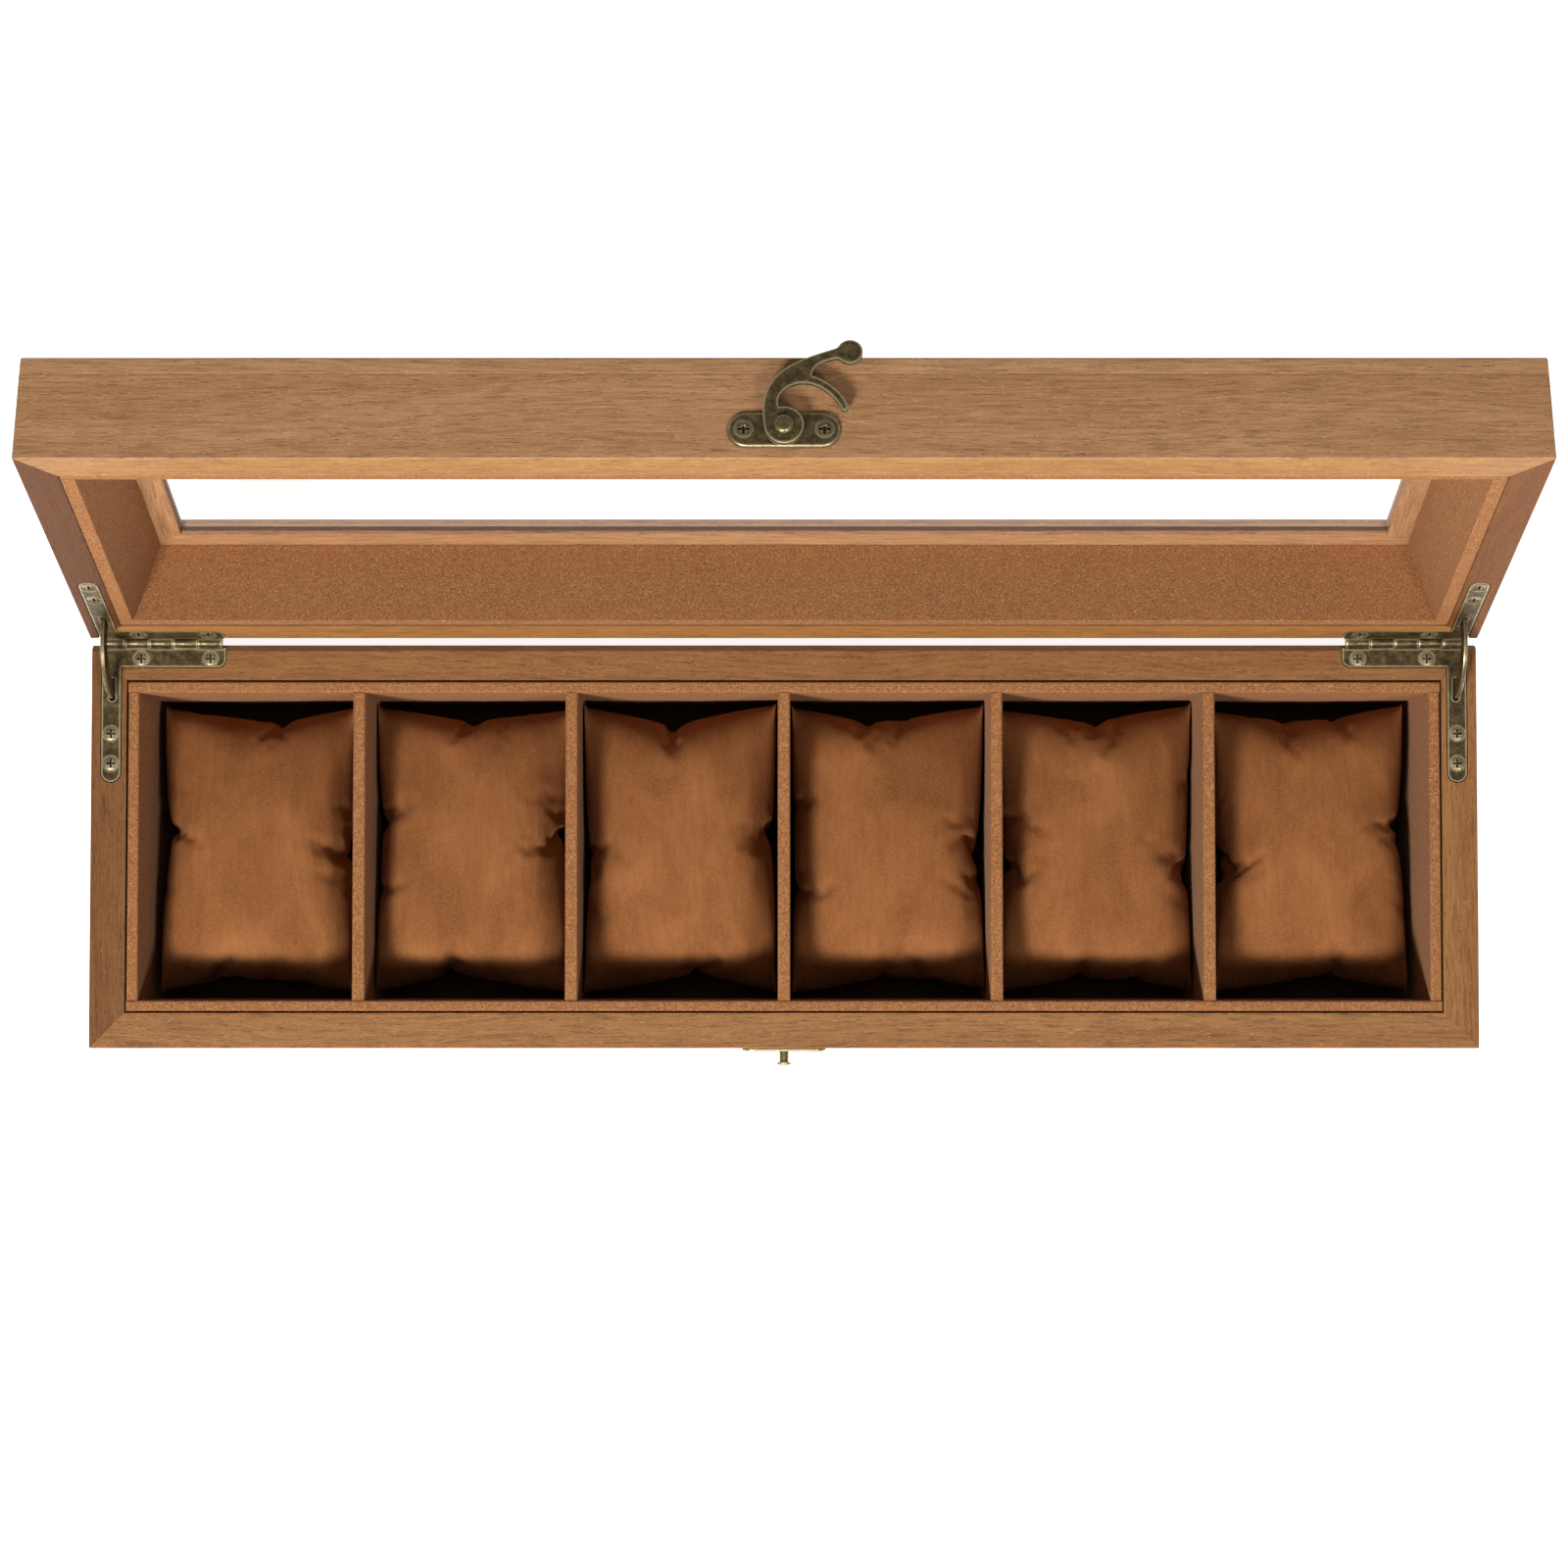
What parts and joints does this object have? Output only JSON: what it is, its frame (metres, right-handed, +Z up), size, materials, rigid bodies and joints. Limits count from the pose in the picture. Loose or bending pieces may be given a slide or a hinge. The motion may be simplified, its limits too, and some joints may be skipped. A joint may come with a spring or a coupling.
{
  "type": "watch box",
  "caption": "Wooden watch box with a row of felt-lined compartments, loose suede pillows, a glazed lid on quadrant hinges with stays, and a swing-hook clasp.",
  "frame": {"origin": "centre of the underside, on the surface that the box stands on", "axes": "+X along the box, -Y towards the front with the catch, +Z up"},
  "size_m": [0.33, 0.1587, 0.1491],
  "materials": {
    "wood": "oiled light brown wood with open grain",
    "panel": "plain plywood",
    "felt": "brown flocked felt",
    "suede": "brown suede cloth",
    "bronze": "antique bronze, bright on worn edges",
    "screw": "antique bronze with bright rims",
    "glass": "clear"
  },
  "bodies": {
    "base": {"base_back_wall": "wood", "base_front_wall": "wood", "base_left_wall": "wood", "base_liner_back": "felt", "base_liner_front": "felt", "base_liner_left": "felt", "base_liner_right": "felt", "base_right_wall": "wood", "bottom_panel": "panel", "catch_peg": "bronze", "catch_plate": "bronze", "catch_screws": "screw", "divider_1": "felt", "divider_2": "felt", "divider_3": "felt", "divider_4": "felt", "divider_5": "felt", "floor_liner": "felt", "left_hinge_base_leaf": "bronze", "left_hinge_base_screws": "screw", "left_hinge_pin": "bronze", "right_hinge_base_leaf": "bronze", "right_hinge_base_screws": "screw", "right_hinge_pin": "bronze", "underside_felt": "felt"},
    "lid": {"clasp_plate": "bronze", "clasp_rivet": "bronze", "clasp_screws": "screw", "left_hinge_lid_leaf": "bronze", "left_hinge_lid_screws": "screw", "lid_back_rail": "wood", "lid_back_wall": "wood", "lid_front_rail": "wood", "lid_front_wall": "wood", "lid_glass": "glass", "lid_left_rail": "wood", "lid_left_wall": "wood", "lid_liner_back": "felt", "lid_liner_front": "felt", "lid_liner_left": "felt", "lid_liner_right": "felt", "lid_right_rail": "wood", "lid_right_wall": "wood", "right_hinge_lid_leaf": "bronze", "right_hinge_lid_screws": "screw"},
    "left_stay": {"left_hinge_stay": "bronze"},
    "right_stay": {"right_hinge_stay": "bronze"},
    "hook": {"clasp_hook": "bronze"},
    "pillow_1": {"pillow_1": "suede"},
    "pillow_2": {"pillow_2": "suede"},
    "pillow_3": {"pillow_3": "suede"},
    "pillow_4": {"pillow_4": "suede"},
    "pillow_5": {"pillow_5": "suede"},
    "pillow_6": {"pillow_6": "suede"}
  },
  "joints": [
    {"name": "lid_hinge", "type": "hinge", "parent": "base", "child": "lid", "pos_m": [0, 0.0486, 0.05565], "axis": [-1, 0, 0], "range_deg": [-109, 0]},
    {"name": "left_stay_swing", "type": "hinge", "parent": "base", "child": "left_stay", "pos_m": [0, 0.0486, 0.05565], "axis": [-1, 0, 0], "range_deg": [-54.5, 0]},
    {"name": "right_stay_swing", "type": "hinge", "parent": "base", "child": "right_stay", "pos_m": [0, 0.0486, 0.05565], "axis": [-1, 0, 0], "range_deg": [-54.5, 0]},
    {"name": "hook_pivot", "type": "hinge", "parent": "lid", "child": "hook", "pos_m": [0, 0.08643, 0.14479], "axis": [0, 0.3256, 0.9455], "range_deg": [-129, 0]},
    {"name": "pillow_1_lift", "type": "slide", "parent": "base", "child": "pillow_1", "axis": [0, 0, 1], "range_m": [0, 0.05]},
    {"name": "pillow_2_lift", "type": "slide", "parent": "base", "child": "pillow_2", "axis": [0, 0, 1], "range_m": [0, 0.05]},
    {"name": "pillow_3_lift", "type": "slide", "parent": "base", "child": "pillow_3", "axis": [0, 0, 1], "range_m": [0, 0.05]},
    {"name": "pillow_4_lift", "type": "slide", "parent": "base", "child": "pillow_4", "axis": [0, 0, 1], "range_m": [0, 0.05]},
    {"name": "pillow_5_lift", "type": "slide", "parent": "base", "child": "pillow_5", "axis": [0, 0, 1], "range_m": [0, 0.05]},
    {"name": "pillow_6_lift", "type": "slide", "parent": "base", "child": "pillow_6", "axis": [0, 0, 1], "range_m": [0, 0.05]}
  ],
  "couplings": [
    {"joint": "left_stay_swing", "follows": "lid_hinge", "ratio": 0.5},
    {"joint": "right_stay_swing", "follows": "lid_hinge", "ratio": 0.5}
  ]
}
